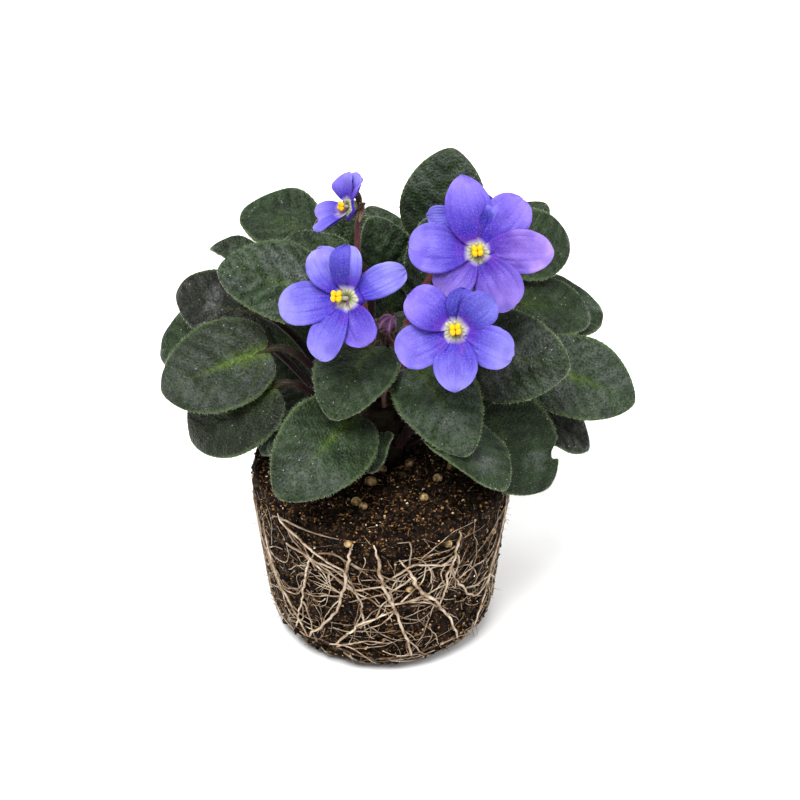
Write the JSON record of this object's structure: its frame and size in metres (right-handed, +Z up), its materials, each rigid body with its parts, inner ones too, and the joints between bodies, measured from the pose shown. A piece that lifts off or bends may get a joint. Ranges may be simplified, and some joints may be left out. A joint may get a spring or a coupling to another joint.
{
  "type": "unpotted african violet with a bare root ball",
  "caption": "Flowering African violet lifted out of its pot: a rosette of velvety leaves and violet blooms on a pot-shaped ball of soil and roots.",
  "frame": {"origin": "centre of the root ball's flat underside", "axes": "+Z up, -Y towards the front of the plant, where the blooms face, +X to the right seen from the front"},
  "size_m": [0.1394, 0.1092, 0.1455],
  "materials": {
    "soil": "matte",
    "root": "matte",
    "crown": "matte",
    "leaf": "velvety",
    "petal": "silky",
    "pollen": "matte",
    "stalk": "matte",
    "bud": "velvety"
  },
  "bodies": {
    "root": {"anthers_hidden": "pollen", "anthers_left": "pollen", "anthers_low": "pollen", "anthers_right": "pollen", "anthers_small": "pollen", "bloom_hidden": "petal", "bloom_left": "petal", "bloom_low": "petal", "bloom_right": "petal", "bloom_small": "petal", "bud_green": "bud", "bud_purple": "bud", "crown_stem": "crown", "leaf_back_left": "leaf", "leaf_back_mid": "leaf", "leaf_back_mid_right": "leaf", "leaf_back_right": "leaf", "leaf_back_right_far": "leaf", "leaf_back_tall": "leaf", "leaf_centre": "leaf", "leaf_front_left": "leaf", "leaf_front_mid": "leaf", "leaf_front_right": "leaf", "leaf_front_right_low": "leaf", "leaf_front_right_under": "leaf", "leaf_inner_back_left": "leaf", "leaf_inner_left": "leaf", "leaf_left_big": "leaf", "leaf_left_far": "leaf", "leaf_left_hidden": "leaf", "leaf_left_low": "leaf", "leaf_left_small": "leaf", "leaf_left_top": "leaf", "leaf_left_up": "leaf", "leaf_low_mid": "leaf", "leaf_rear_inner_left": "leaf", "leaf_rear_left": "leaf", "leaf_rear_mid": "leaf", "leaf_rear_mid_left": "leaf", "leaf_rear_right": "leaf", "leaf_right_big": "leaf", "leaf_right_low": "leaf", "leaf_right_mid": "leaf", "leaf_right_up": "leaf", "leaf_right_up_far": "leaf", "pedicel_hidden": "stalk", "pedicel_left": "stalk", "pedicel_low": "stalk", "pedicel_right": "stalk", "pedicel_small": "stalk", "root_net": "root", "soil_ball": "soil"}
  },
  "joints": []
}
